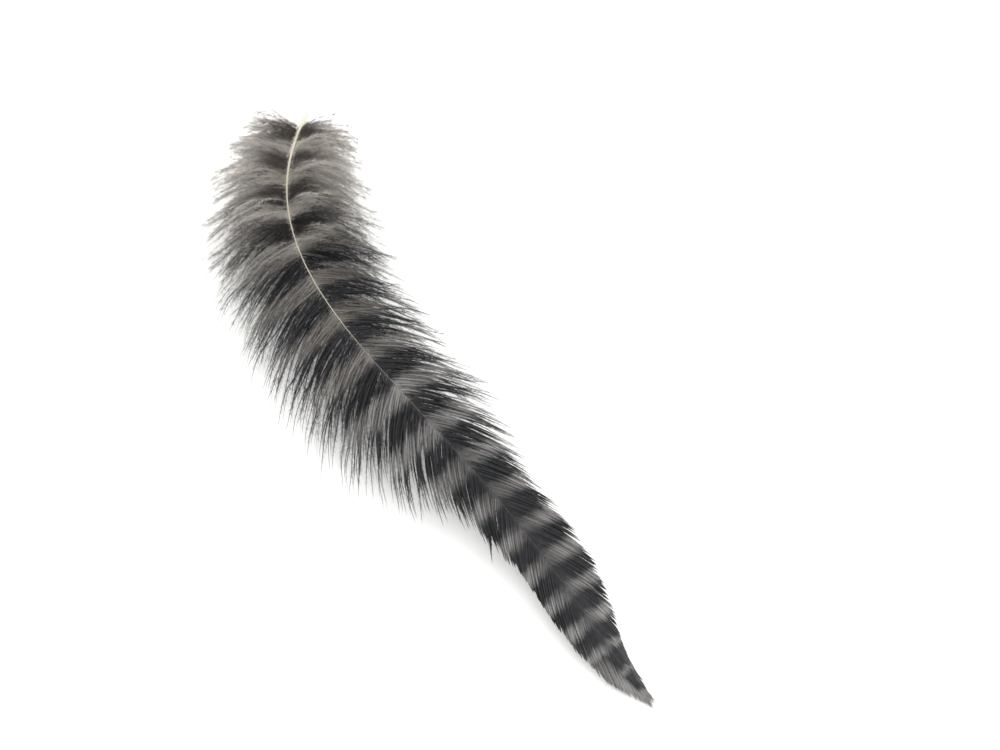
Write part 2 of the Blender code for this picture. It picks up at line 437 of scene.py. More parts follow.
def faces_to_mesh(
    name: str, vertices: np.ndarray, corners: np.ndarray, totals: np.ndarray
) -> bpy.types.Mesh:
    """Make a mesh from flat arrays.

    Args:
        name: The mesh's name.
        vertices: One row of coordinates for each vertex.
        corners: The vertex of each face corner, face after face.
        totals: How many corners each face has.

    Returns:
        The mesh.
    """
    mesh = bpy.data.meshes.new(name)
    mesh.vertices.add(len(vertices))
    mesh.vertices.foreach_set("co", vertices.astype(np.float32).ravel())
    mesh.loops.add(len(corners))
    mesh.loops.foreach_set("vertex_index", corners.astype(np.int32))
    mesh.polygons.add(len(totals))
    starts = np.concatenate([[0], np.cumsum(totals)[:-1]])
    mesh.polygons.foreach_set("loop_start", starts.astype(np.int32))
    mesh.update(calc_edges=True)
    return mesh


def add_map(mesh: bpy.types.Mesh, name: str, places: np.ndarray, corners: np.ndarray) -> None:
    """Add a UV map that holds one place for each vertex."""
    layer = mesh.uv_layers.new(name=name)
    layer.data.foreach_set("uv", places[corners].astype(np.float32).ravel())


def top_view(points: np.ndarray) -> np.ndarray:
    """Look down on points, so that near barbs share their colours in the bake.

    Args:
        points: The points.

    Returns:
        Their places over the feather's footprint, from 0 to 1 each way.
    """
    low, high = (np.array(corner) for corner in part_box(NODE))
    margin = MARGIN_OF_BAKE_MAP * (high - low)
    return (points[:, :2] - (low - margin)[:2]) / (high - low + 2 * margin)[:2]


@dataclass(frozen=True)
class BarbLook:
    """How thick and how unruly barbs are, by their root's distance from the shaft's tip.

    Each list but the first has one value for each of the stations, which are in millimetres. Widths,
    heights, waves and spacings are in millimetres and angles in degrees. hair_from is how far along it a
    barb stays a full blade before it thins to a hair, and end_width the share of its width that it has at
    its end. lock_pull and tuft_pull are how far barbs draw together in their lock and in small tufts of it.
    Tufts differ in width by tuft_spread, and waves in length and size by wave_turns and wave_sizes.
    """

    stations: Numbers
    half_width: Numbers
    half_height: Numbers
    end_width: Numbers
    hair_from: Numbers
    lock_pull: Numbers
    tuft_pull: Numbers
    length_spread: Numbers
    turn_spread: Numbers
    rise_spread: Numbers
    wave_size: Numbers
    bar_jitter: Numbers
    shorter_at_edge: Numbers
    tuft_spacing: float = 2.4
    tuft_spread: Pair = (0.5, 1.5)
    wave_length: float = 12.0
    wave_turns: Pair = (0.7, 1.4)
    wave_sizes: Pair = (0.3, 1.0)
    wave_power: float = 1.2

    def at(self, values: Numbers, roots: np.ndarray) -> np.ndarray:
        """One of the lists above, read at these roots, as a column."""
        return np.interp(roots / MM, self.stations, values)[:, None]


SURFACE_LOOK = BarbLook(
    stations=(0, 8, 30, 50, 70, 95, 112, 138),
    half_width=(0.16, 0.19, 0.2, 0.2, 0.2, 0.18, 0.1, 0.045),
    half_height=(0.03, 0.03, 0.03, 0.03, 0.03, 0.03, 0.03, 0.025),
    end_width=(0.12, 0.3, 0.3, 0.14, 0.1, 0.12, 0.2, 0.25),
    hair_from=(0.55, 0.9, 0.92, 0.58, 0.36, 0.32, 0.15, 0.1),
    lock_pull=(0.0, 0.05, 0.06, 0.18, 0.26, 0.28, 0.3, 0.25),
    tuft_pull=(0.1, 0.06, 0.06, 0.18, 0.28, 0.3, 0.3, 0.3),
    length_spread=(0.1, 0.07, 0.09, 0.26, 0.45, 0.42, 0.34, 0.3),
    turn_spread=(3.5, 0.4, 0.45, 1.3, 3.0, 3.4, 4.5, 5.5),
    rise_spread=(1.0, 1.0, 1.5, 2.5, 3.0, 4.0, 8.0, 10.0),
    wave_size=(0.02, 0.02, 0.03, 0.15, 0.55, 0.5, 0.5, 0.5),
    bar_jitter=(0.04, 0.04, 0.04, 0.04, 0.04, 0.04, 0.06, 0.08),
    shorter_at_edge=(0.03, 0.03, 0.04, 0.1, 0.12, 0.12, 0.12, 0.12),
)
PLUSH_LOOK = BarbLook(
    stations=(66, 105, 138),
    half_width=(0.055, 0.05, 0.045),
    half_height=(0.03, 0.03, 0.03),
    end_width=(0.25, 0.25, 0.3),
    hair_from=(0.1, 0.05, 0.05),
    lock_pull=(0.4, 0.35, 0.25),
    tuft_pull=(0.4, 0.35, 0.25),
    length_spread=(0.35, 0.35, 0.35),
    turn_spread=(4.0, 5.0, 6.0),
    rise_spread=(8.0, 10.0, 12.0),
    wave_size=(0.5, 0.55, 0.5),
    bar_jitter=(0.06, 0.06, 0.08),
    shorter_at_edge=(0.12, 0.12, 0.12),
)


@dataclass
class Stand:
    """Where barbs stand in their locks.

    off is how far each root lies from the middle of its lock, off_share the share of the way to the lock's
    edge, and longer and turned are the lock's irregularities of length and direction, from -1 to 1.
    """

    off: np.ndarray
    off_share: np.ndarray
    longer: np.ndarray
    turned: np.ndarray


@dataclass
class BarbField:
    """Grows barbs from the shaft.

    The three wobbles are the CAD solid's irregularities: the share of a lock's length, the degrees of its
    direction and the share of its root's spacing. loosening says where, in millimetres from the shaft's
    tip, the closed vane parts into locks. strays is the share of barbs that leave their lock, by stray_turn
    degrees, once straying has set in. tip_lean and tip_closing are the degrees by which the barbs within
    tip_reach turn to +X and to the middle.

    root_out and root_up are the shares of the shaft's radius at which a barb leaves it, pull_powers how
    late along it a barb draws to its lock and to its tuft, thinning_power how soon it thins, and roll how
    far it leans over for each degree that it is unruly. box_share and firm_shares keep stray ends inside
    the solid's box.
    """

    shaft: ShaftLine
    growth: Growth
    bars: BarRule
    length_wobble: float = 0.07
    turn_wobble: float = 3.0
    root_wobble: float = 0.12
    loosening: tuple[Pair, Pair] = ((45.0, 80.0), (0.05, 0.8))
    strays: float = 0.08
    stray_turn: float = 9.0
    straying: Pair = (30.0, 60.0)
    tip_lean: float = 6.0
    tip_closing: float = 4.0
    tip_reach: float = 7.0
    root_out: float = 0.4
    root_up: float = 0.7
    pull_powers: Pair = (1.3, 1.8)
    thinning_power: float = 0.7
    roll: float = 0.06
    farthest_off_centre: float = 1.2
    floor_gap: float = 0.12 * MM
    floor_spread: float = 3.0
    box_share: float = 0.995
    firm_shares: Triple = (0.88, 0.992, 0.88)
    steps: int = 14

    def lock_wobble(self, lock: np.ndarray, kind: Wobble) -> np.ndarray:
        """The CAD solid's fixed irregularity of each lock, from -1 to 1."""
        return np.sin(WOBBLE_STEPS[0] * (lock + 1) + WOBBLE_STEPS[1] * kind.value)

    def grow(
        self, row: LockRow, side: Side, roots: np.ndarray, look: BarbLook, rng: np.random.Generator
    ) -> Strands:
        """Grow one row of barbs on one side.

        Args:
            row: The row of locks that the barbs lie in.
            side: The side of the shaft.
            roots: The barbs' roots, as distances from the shaft's tip.
            look: The barbs' thickness and unruliness.
            rng: The random numbers, seeded.

        Returns:
            The barbs as strands.
        """
        count = len(roots)
        stand = self.stand(row, side, roots)
        straying = self.strays * np.interp(roots / MM, self.straying, (0.0, 1.0))
        held = (rng.random(count) > straying).astype(float)[:, None]
        length = self.lengths(row, side, roots, look, stand)
        length *= 1.0 - look.at(look.length_spread, roots)[:, 0] * rng.random(count) ** 2
        turn = self.turn_wobble * stand.turned[:, None]
        turn = turn + look.at(look.turn_spread, roots) * rng.normal(size=(count, 1))
        turn = turn + (1.0 - held) * self.stray_turn * rng.normal(size=(count, 1))
        tip_turn = side.value * self.tip_lean - self.tip_closing
        turn = turn + tip_turn * np.interp(roots / MM, (0.0, self.tip_reach), (1.0, 0.0))[:, None]
        root_angle = self.growth.read(self.growth.root_angles, roots)[:, None]
        end_angle = self.growth.read(self.growth.end_angles, roots)[:, None]

        share = np.linspace(0.0, 1.0, self.steps)
        middle = 0.5 * (share[1:] + share[:-1])
        angle = np.radians(root_angle + (end_angle - root_angle) * middle + turn)
        unrest = look.at(look.rise_spread, roots) * rng.normal(size=(count, 2))
        rise = np.radians(row.lift + unrest[:, :1] - (row.droop + unrest[:, 1:]) * middle)
        step = (length / (self.steps - 1))[:, None]
        zero = np.zeros((count, 1))
        along = np.concatenate([zero, np.cumsum(np.cos(angle) * step, axis=1)], axis=1)
        across = np.concatenate([zero, np.cumsum(np.sin(angle) * np.cos(rise) * step, axis=1)], axis=1)
        above = np.concatenate([zero, np.cumsum(np.sin(angle) * np.sin(rise) * step, axis=1)], axis=1)

        to_lock, to_tuft = (held * share**power for power in self.pull_powers)
        along += look.at(look.lock_pull, roots) * to_lock * stand.off[:, None]
        along += look.at(look.tuft_pull, roots) * to_tuft * self.tuft_shift(roots, look, rng)
        wave = self.waves(share, length, look, rng) * look.at(look.wave_size, roots) * MM
        along += wave[0]
        above += wave[1]

        ahead = self.shaft.ahead(roots)
        outward = unit(np.cross(ahead, np.array([0.0, 0.0, 1.0]))) * -side.value
        radius = self.shaft.radius(roots)[:, None]
        points = self.shaft.at(roots)[:, None] + ahead[:, None] * along[..., None]
        at_shaft = radius * (1.0 - share)
        points = points + outward[:, None] * (across + self.root_out * at_shaft)[..., None]
        points[..., 2] += above + self.root_up * at_shaft
        points = self.settle(points, rng)
        bars = self.bars.at(roots[:, None], along, across, side)
        bars = bars + look.at(look.bar_jitter, roots) * rng.normal(size=(count, 1))
        hair_from = look.at(look.hair_from, roots)
        thinning = np.clip((share - hair_from) / (1.0 - hair_from), 0.0, 1.0) ** self.thinning_power
        taper = 1.0 - (1.0 - look.at(look.end_width, roots)) * thinning
        roll = self.roll * look.at(look.rise_spread, roots) * rng.normal(size=(count, 1))
        roll = roll * np.ones(self.steps)
        up = np.array([0.0, 0.0, 1.0]) + outward[:, None] * np.sin(roll)[..., None]
        return Strands(
            points,
            look.at(look.half_width, roots) * MM * taper,
            look.at(look.half_height, roots) * MM * taper,
            up,
            bars,
            np.broadcast_to(share, bars.shape).copy(),
            rng.random(count),
            np.full(count, self.bars.pale_edge_plus_x if side is Side.PLUS_X else 1.0),
        )

    def stand(self, row: LockRow, side: Side, roots: np.ndarray) -> Stand:
        """Find the lock that each barb stands in.

        Args:
            row: The row of locks.
            side: The side of the shaft.
            roots: The barbs' roots, as distances from the shaft's tip.

        Returns:
            Where the barbs stand in their locks.
        """
        lock_roots = row.roots()
        spacing = row.spacing()
        inside = np.clip(roots, lock_roots[0], lock_roots[-1])
        nearest = np.abs(inside[:, None] - lock_roots[None]).argmin(axis=1)
        locks = row.first_lock + 2 * np.arange(row.count) + (side is Side.MINUS_X)
        centres = lock_roots + self.root_wobble * spacing * self.lock_wobble(locks, Wobble.ROOT)
        off = inside - centres[nearest]
        off_share = np.clip(np.abs(off) / (0.5 * spacing[nearest]), 0.0, self.farthest_off_centre)
        loose = np.interp(roots / MM, *self.loosening)
        wobbles = (self.lock_wobble(locks, kind) for kind in (Wobble.LENGTH, Wobble.TURN))
        longer, turned = (
            loose * each[nearest] + (1.0 - loose) * np.interp(roots, centres, each) for each in wobbles
        )
        return Stand(off, off_share, longer, turned)

    def lengths(
        self, row: LockRow, side: Side, roots: np.ndarray, look: BarbLook, stand: Stand
    ) -> np.ndarray:
        """Say how long barbs are before chance shortens some.

        Args:
            row: The row of locks.
            side: The side of the shaft.
            roots: The barbs' roots, as distances from the shaft's tip.
            look: The barbs' unruliness.
            stand: Where they stand in their locks.

        Returns:
            The barbs' lengths.
        """
        uneven = 1.0 - side.value * self.growth.read(self.growth.uneven, roots)
        length = self.growth.read(self.growth.lengths, roots) * MM * row.reach * uneven
        length *= 1.0 + self.length_wobble * stand.longer
        return length * (1.0 - look.at(look.shorter_at_edge, roots)[:, 0] * stand.off_share**2)

    def tuft_shift(self, roots: np.ndarray, look: BarbLook, rng: np.random.Generator) -> np.ndarray:
        """Part barbs into small tufts of uneven width.

        Args:
            roots: The barbs' roots, as distances from the shaft's tip.
            look: The barbs' unruliness.
            rng: The random numbers, seeded.

        Returns:
            How far each root lies from the middle of its tuft, as a column.
        """
        reach = look.tuft_spacing * MM
        # Enough tufts to pass the last root even where they come out narrow
        count = 8 + int(1.5 * np.ptp(roots) / reach)
        edges = roots.min() + np.cumsum(reach * rng.uniform(*look.tuft_spread, size=count))
        middles = np.concatenate([[roots.min()], 0.5 * (edges[1:] + edges[:-1]), [edges[-1]]])
        return (roots - middles[np.searchsorted(edges, roots)])[:, None]

    def waves(
        self, share: np.ndarray, length: np.ndarray, look: BarbLook, rng: np.random.Generator
    ) -> np.ndarray:
        """Work out gentle waves of unit size.

        Args:
            share: How far along its barb each point lies.
            length: The barbs' lengths.
            look: The barbs' unruliness.
            rng: The random numbers, seeded.

        Returns:
            Two offsets for each point: along the shaft and up.
        """
        offsets = []
        for _ in range(2):
            turns = length * rng.uniform(*look.wave_turns, size=len(length)) / (look.wave_length * MM)
            start = rng.uniform(0.0, 2 * math.pi, size=(len(length), 1))
            swing = np.sin(2 * math.pi * turns[:, None] * share + start) - np.sin(start)
            size = rng.uniform(*look.wave_sizes, size=(len(length), 1))
            offsets.append(size * share**look.wave_power * swing)
        return np.stack(offsets)

    def settle(self, points: np.ndarray, rng: np.random.Generator) -> np.ndarray:
        """Lay what would hang below the surface along it, and draw stray ends softly inside the box.

        Args:
            points: The barbs' points.
            rng: The random numbers, seeded.

        Returns:
            The points where they come to lie.
        """
        low, high = (np.array(corner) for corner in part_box(NODE))
        middle = 0.5 * (low + high) * np.array([1.0, 1.0, 0.0])
        reach = (high - middle) * self.box_share
        out = np.abs(points - middle) / reach
        firm = np.array(self.firm_shares)
        left = 1.0 - firm
        drawn = np.where(out > firm, firm + left * np.tanh((out - firm) / left), out)
        settled = middle + np.sign(points - middle) * drawn * reach
        lowest = self.floor_gap * (1.0 + self.floor_spread * rng.random(len(points)))[:, None]
        settled[..., 2] = np.maximum(settled[..., 2], lowest)
        return settled


@dataclass(frozen=True)
class Barbules:
    """The fine side hairs of barbs, drawn several times as coarse as real ones so that they show.

    Each is a straight needle. kept, lengths in millimetres and rise_spread in degrees are lists by the
    stations, the barb's root's distance from the shaft's tip: the share of the needles that is there, how
    long they are and how far they stand out of the barb's own plane. turns are the least and most degrees
    between needle and barb, length_range how much lengths differ, shorter_outwards how much shorter they
    are at the barb's end, and tone_from_barb the share of its shade that a needle has from its barb.
    """

    per_barb: int
    stations: Numbers
    kept: Numbers
    lengths: Numbers
    rise_spread: Numbers
    half_width: float = 0.026
    turns: Pair = (26.0, 58.0)
    places: Pair = (0.03, 0.86)
    length_range: Pair = (0.55, 1.2)
    shorter_outwards: float = 0.45
    tone_from_barb: float = 0.6

    def grow(self, barbs: Strands, roots: np.ndarray, floor_gap: float, rng: np.random.Generator) -> Strands:
        """Grow hairs on both sides of each barb.

        Args:
            barbs: The barbs that carry them.
            roots: The barbs' roots, as distances from the shaft's tip.
            floor_gap: The least height of any point.
            rng: The random numbers, seeded.

        Returns:
            The hairs as strands of two points.
        """
        count, steps = barbs.bars.shape
        kept = rng.random((count, self.per_barb)) < np.interp(roots / MM, self.stations, self.kept)[:, None]
        barb = np.nonzero(kept)[0]
        place = rng.uniform(*self.places, size=len(barb)) * (steps - 1)
        low = np.minimum(place.astype(int), steps - 2)
        part = place - low
        start = self.between(barbs.points, barb, low, part[:, None])
        direction = unit(barbs.points[barb, low + 1] - barbs.points[barb, low])
        share = self.between(barbs.shares, barb, low, part)
        hand = rng.integers(0, 2, size=len(barb)) * 2.0 - 1.0
        up = barbs.up[barb, low]
        out = unit(np.cross(direction, up)) * hand[:, None]
        root = roots[barb] / MM
        length = np.interp(root, self.stations, self.lengths) * MM
        length = length * rng.uniform(*self.length_range, size=len(barb))
        length = length * (1.0 - self.shorter_outwards * share)
        turn = np.radians(rng.uniform(*self.turns, size=len(barb)))
        rise = np.radians(np.interp(root, self.stations, self.rise_spread) * rng.normal(size=len(barb)))
        aside = out * np.cos(rise)[:, None] + unit(up) * np.sin(rise)[:, None]
        way = direction * np.cos(turn)[:, None] + aside * np.sin(turn)[:, None]
        points = np.stack([start, start + way * length[:, None]], axis=1)
        points[..., 2] = np.maximum(points[..., 2], floor_gap)
        points = np.clip(points, *(np.array(corner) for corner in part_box(NODE)))
        widths = np.full((len(barb), 2), self.half_width * MM)
        bars = self.between(barbs.bars, barb, low, part)
        return Strands(
            points,
            widths,
            widths,
            np.repeat(up[:, None], 2, axis=1),
            np.repeat(bars[:, None], 2, axis=1),
            np.repeat(share[:, None], 2, axis=1),
            self.tone_from_barb * barbs.tones[barb] + (1.0 - self.tone_from_barb) * rng.random(len(barb)),
            barbs.pale_edges[barb],
        )

    def between(
        self, values: np.ndarray, barb: np.ndarray, low: np.ndarray, part: np.ndarray
    ) -> np.ndarray:
        """Values of barbs read between their points."""
        return values[barb, low] * (1.0 - part) + values[barb, low + 1] * part


SURFACE_BARBULES = Barbules(
    per_barb=170,
    stations=(0, 30, 50, 70, 95, 110, 138),
    kept=(0.3, 0.4, 0.7, 0.7, 0.6, 0.9, 1.0),
    lengths=(0.4, 0.5, 1.0, 1.3, 1.3, 1.9, 2.1),
    rise_spread=(6, 6, 8, 8, 12, 35, 60),
)
PLUSH_BARBULES = Barbules(
    per_barb=110,
    stations=(66, 92, 108, 138),
    kept=(0.8, 0.5, 1.0, 1.0),
    lengths=(1.5, 1.5, 1.9, 2.1),
    rise_spread=(45, 45, 60, 70),
)


class Finish:
    """What the finishes share: how a material starts, and how its values and colours vary."""

    def start(self, name: str) -> tuple[bpy.types.Material, bpy.types.NodeTree, bpy.types.Node]:
        """Make a plain material.

        Args:
            name: The material's name.

        Returns:
            The material, its node tree and its shader.
        """
        material = bpy.data.materials.new(name)
        material.use_nodes = True
        return material, material.node_tree, material.node_tree.nodes["Principled BSDF"]

    def changes(
        self, tree: bpy.types.NodeTree, plan: dict[str, tuple[Socket, Pair, Pair]]
    ) -> dict[str, Socket]:
        """Make values that go softly from one number to another.

        Args:
            tree: The node tree to add to.
            plan: By name, what drives each value, the range that this crosses and the numbers at its ends.

        Returns:
            The values by the names in the plan.
        """
        values = {}
        for name, (driver, crossed, ends) in plan.items():
            settings = {"interpolation_type": "SMOOTHSTEP", "Value": driver}
            settings |= dict(zip(("From Min", "From Max", "To Min", "To Max"), (*crossed, *ends)))
            values[name] = add_node(tree, "ShaderNodeMapRange", settings).outputs[0]
        return values

    def product(self, tree: bpy.types.NodeTree, first: Socket, *others: Socket | float) -> Socket:
        """Multiply values with each other.

        Args:
            tree: The node tree to add to.
            first: The first value.
            others: What it is multiplied by, sockets or numbers.

        Returns:
            The product.
        """
        for other in others:
            settings = {"operation": "MULTIPLY", 0: first, 1: other}
            first = add_node(tree, "ShaderNodeMath", settings).outputs[0]
        return first

    def layers(
        self, tree: bpy.types.NodeTree, base: str | Socket, *covers: tuple[Socket, str | Socket]
    ) -> Socket:
        """Lay colours over one another.

        Args:
            tree: The node tree to add to.
            base: The lowest colour, as a hex value or a socket.
            covers: For each colour over it, the share of it that shows and the colour.

        Returns:
            The colour that is seen.
        """
        for share, cover in covers:
            under, over = (linear_colour(each) if isinstance(each, str) else each for each in (base, cover))
            settings = {"data_type": "RGBA", 0: share, 6: under, 7: over}
            base = add_node(tree, "ShaderNodeMix", settings).outputs[2]
        return base


@dataclass(frozen=True)
class BarredKeratin(Finish):
    """Melanin-barred feather keratin, grown in fine blades: a soft dull sheen, bars whose edges run along
    the barbs, and grey-brown down whose bars fade towards the quill.

    Colours are sRGB hex. The first pairs are bar numbers, and say where along the shaft one look changes to
    the next: pale edges near the tip to barred ones, close vane to loose fringe, uneven bars to even ones,
    neutral pale bars to warm ones and then to bright ones, and black-brown dark bars to grey ones. outer is
    the colour of the barb's outer part in the fringe, from and to these shares of the barb, outer_strength
    how much of it shows there, and outer_end the bar numbers over which it falls to outer_left.

    narrow_bars and broad_bars are how far from a dark bar's middle, in bars, the vane and the down turn
    pale. pale_edge, lit and cream_reach are shares of the barb: over which its end turns pale, its pale
    bars reach their full brightness, and its cream tint ends.
    """

    outer: str
    outer_shares: Pair
    outer_strength: float
    outer_end: Pair
    outer_left: float = 0.3
    dark_vane: str = "#17181b"
    pale_vane: str = "#7a7876"
    pale_middle: str = "#625e59"
    dark_down: str = "#5b5550"
    pale_down: str = "#cdc7c0"
    cream: str = "#afa98d"
    ior: float = 1.55
    gloss: float = 0.3
    roughness: Pair = (0.5, 0.75)
    rough_flecks: Pair = (0.2, 0.8)
    shades: Pair = (0.83, 1.17)
    tip: Pair = (1.4, 3.9)
    loose: Pair = (7.0, 10.0)
    even: Pair = (8.5, 11.5)
    warm: Pair = (10.0, 13.0)
    bright: Pair = (13.6, 16.2)
    grey: Pair = (14.7, 17.6)
    narrow_bars: Pair = (0.17, 0.47)
    broad_bars: Pair = (0.19, 0.41)
    wider_at_tip: float = 0.1
    pale_edge: Pair = (0.3, 0.75)
    pale_edge_in_down: float = 0.75
    lit: Pair = (0.0, 0.75)
    light_at_shaft: float = 0.3
    cream_reach: Pair = (0.0, 0.45)
    cream_strength: float = 0.6
    cream_patches: Pair = (0.42, 0.62)
    cream_between_patches: float = 0.1
    edge_noise: float = 0.16
    width_noise: float = 0.16
    # Flecks of a tenth of a bar show a feathery edge
    fleck_size: float = 0.9 * MM
    blotch_size: float = 8.0 * MM

    def build(self, name: str) -> bpy.types.Material:
        """Make the material.

        Args:
            name: The material's name.

        Returns:
            The material.
        """
        material, tree, shader = self.start(name)
        places = add_node(tree, "ShaderNodeUVMap", {"uv_map": PLAN_MAP})
        split = add_node(tree, "ShaderNodeSeparateXYZ", {0: places.outputs[0]})
        number = self.product(tree, split.outputs[0], MOST_BARS)
        along = split.outputs[1]
        where = add_node(tree, "ShaderNodeTexCoord", {}).outputs["Object"]
        fleck, blotch = (
            add_node(tree, "ShaderNodeTexNoise", {"Scale": 1.0 / size, "Vector": where}).outputs[0]
            for size in (self.fleck_size, self.blotch_size)
        )
        tone, has_pale_edge = (
            add_node(tree, "ShaderNodeAttribute", {"attribute_name": attribute}).outputs["Fac"]
            for attribute in (TONE, PALE_EDGE)
        )
        value = self.changes(
            tree,
            {
                "tip": (number, self.tip, (1.0, 0.0)),
                "loose": (number, self.loose, (0.0, 1.0)),
                "warm": (number, self.warm, (0.0, 1.0)),
                "bright": (number, self.bright, (0.0, 1.0)),
                "grey": (number, self.grey, (0.0, 1.0)),
                "outer left": (number, self.outer_end, (1.0, self.outer_left)),
                "outer part": (along, self.outer_shares, (0.0, self.outer_strength)),
                "end": (along, self.pale_edge, (0.0, 1.0)),
                "creamy": (along, self.cream_reach, (self.cream_strength, 0.0)),
                "patch": (blotch, self.cream_patches, (self.cream_between_patches, 1.0)),
                "shade": (tone, (0.0, 1.0), self.shades),
                "rough": (fleck, self.rough_flecks, self.roughness),
            },
        )
        pale = self.pale_share(tree, number, along, fleck, blotch)
        edge = self.product(tree, value["tip"], has_pale_edge)
        settings = {"operation": "MULTIPLY_ADD", 0: value["grey"], 1: self.pale_edge_in_down, 2: edge}
        edge = add_node(tree, "ShaderNodeMath", settings).outputs[0]
        edge = self.product(tree, edge, value["end"])
        pale = add_node(tree, "ShaderNodeMath", {"operation": "MAXIMUM", 0: pale, 1: edge}).outputs[0]

        dark = self.layers(tree, self.dark_vane, (value["grey"], self.dark_down))
        warm = self.layers(tree, self.pale_vane, (value["warm"], self.pale_middle))
        light = self.layers(tree, warm, (value["bright"], self.pale_down))
        creamy = self.product(tree, value["creamy"], value["patch"], value["grey"], pale)
        outer = self.product(tree, value["outer part"], value["loose"], value["outer left"])
        colour = self.layers(tree, dark, (pale, light), (creamy, self.cream), (outer, self.outer))
        shaded = {"operation": "SCALE", 0: colour, "Scale": value["shade"]}
        settings = {
            "IOR": self.ior,
            "Specular IOR Level": self.gloss,
            "Base Color": add_node(tree, "ShaderNodeVectorMath", shaded).outputs[0],
            "Roughness": value["rough"],
        }
        set_node(tree, shader, settings)
        return material

    def pale_share(
        self, tree: bpy.types.NodeTree, number: Socket, along: Socket, fleck: Socket, blotch: Socket
    ) -> Socket:
        """Say how pale each point is: narrow bands that are dim at the shaft, and broader ones in the down.

        Args:
            tree: The node tree to add to.
            number: The bar number.
            along: The share of the barb from its root.
            fleck: The fine noise that frays the bars' edges.
            blotch: The coarse noise that makes the bars uneven in width.

        Returns:
            The share of the pale colour.
        """
        frayed = {"operation": "MULTIPLY_ADD", 0: fleck, 1: self.edge_noise, 2: -0.5 * self.edge_noise}
        uneven = {"operation": "MULTIPLY_ADD", 0: blotch, 1: self.width_noise, 2: -0.5 * self.width_noise}
        frayed, uneven = (add_node(tree, "ShaderNodeMath", each).outputs[0] for each in (frayed, uneven))
        number = add_node(tree, "ShaderNodeMath", {"operation": "ADD", 0: number, 1: frayed}).outputs[0]
        plan = {
            "tip": (number, self.tip, (1.0, 0.0)),
            "wider": (number, self.tip, (-self.wider_at_tip, 0.0)),
            "even": (number, self.even, (0.0, 1.0)),
            "lit": (along, self.lit, (self.light_at_shaft, 1.0)),
        }
        value = self.changes(tree, plan)
        off_middle = number
        for step in (
            {"operation": "FRACT"},
            {"operation": "SUBTRACT", 1: 0.5},
            {"operation": "ABSOLUTE"},
            {"operation": "ADD", 1: uneven},
            {"operation": "ADD", 1: value["wider"]},
        ):
            off_middle = add_node(tree, "ShaderNodeMath", {**step, 0: off_middle}).outputs[0]
        plan = {
            "narrow": (off_middle, self.narrow_bars, (0.0, 1.0)),
            "broad": (off_middle, self.broad_bars, (0.0, 1.0)),
        }
        bars = self.changes(tree, plan)
        lit = {"operation": "MAXIMUM", 0: value["lit"], 1: value["tip"]}
        narrow = self.product(tree, bars["narrow"], add_node(tree, "ShaderNodeMath", lit).outputs[0])
        both = {"data_type": "FLOAT", 0: value["even"], 2: narrow, 3: bars["broad"]}
        return add_node(tree, "ShaderNodeMix", both).outputs[0]


@dataclass(frozen=True)
class ShaftHorn(Finish):
    """Solid and hollow keratin, grown and then dried: a clear waxy cream at the quill that darkens to brown
    horn towards the tip, with a smooth low gloss and faint ridges along it.

    The three spans are shares of the shaft's length from the quill, over which one colour turns to the
    next.
    """

    quill: str = "#c6bfa9"
    middle: str = "#ada68e"
    outer: str = "#5d564b"
    tip: str = "#26231f"
    to_middle: Pair = (0.05, 0.4)
    to_outer: Pair = (0.4, 0.54)
    to_tip: Pair = (0.54, 0.66)
    unevenness: float = 0.12
    roughness: Pair = (0.3, 0.5)
    ior: float = 1.55
    ridge_width: float = 0.25 * MM
    ridge_height: float = 0.03 * MM
    ridge_strength: float = 0.25

    def build(self, name: str) -> bpy.types.Material:
        """Make the material.

        Args:
            name: The material's name.

        Returns:
            The material.
        """
        material, tree, shader = self.start(name)
        places = add_node(tree, "ShaderNodeUVMap", {"uv_map": PLAN_MAP})
        split = add_node(tree, "ShaderNodeSeparateXYZ", {0: places.outputs[0]})
        where = add_node(tree, "ShaderNodeTexCoord", {}).outputs["Object"]
        ridges = {"Scale": 1.0 / self.ridge_width, "Vector": where}
        ridge = add_node(tree, "ShaderNodeTexNoise", ridges).outputs[0]
        vary = {"operation": "MULTIPLY_ADD", 0: ridge, 1: self.unevenness, 2: -0.5 * self.unevenness}
        varied = add_node(tree, "ShaderNodeMath", vary).outputs[0]
        moved = {"operation": "ADD", 0: split.outputs[1], 1: varied}
        along = add_node(tree, "ShaderNodeMath", moved).outputs[0]
        spans = {"middle": self.to_middle, "outer": self.to_outer, "tip": self.to_tip}
        shares = self.changes(tree, {colour: (along, span, (0.0, 1.0)) for colour, span in spans.items()})
        covers = [(share, getattr(self, colour)) for colour, share in shares.items()]
        rough = {"To Min": self.roughness[0], "To Max": self.roughness[1], "Value": ridge}
        bump = {"Strength": self.ridge_strength, "Distance": self.ridge_height, "Height": ridge}
        settings = {
            "IOR": self.ior,
            "Base Color": self.layers(tree, self.quill, *covers),
            "Roughness": add_node(tree, "ShaderNodeMapRange", rough).outputs[0],
            "Normal": add_node(tree, "ShaderNodeBump", bump).outputs[0],
        }
        set_node(tree, shader, settings)
        return material


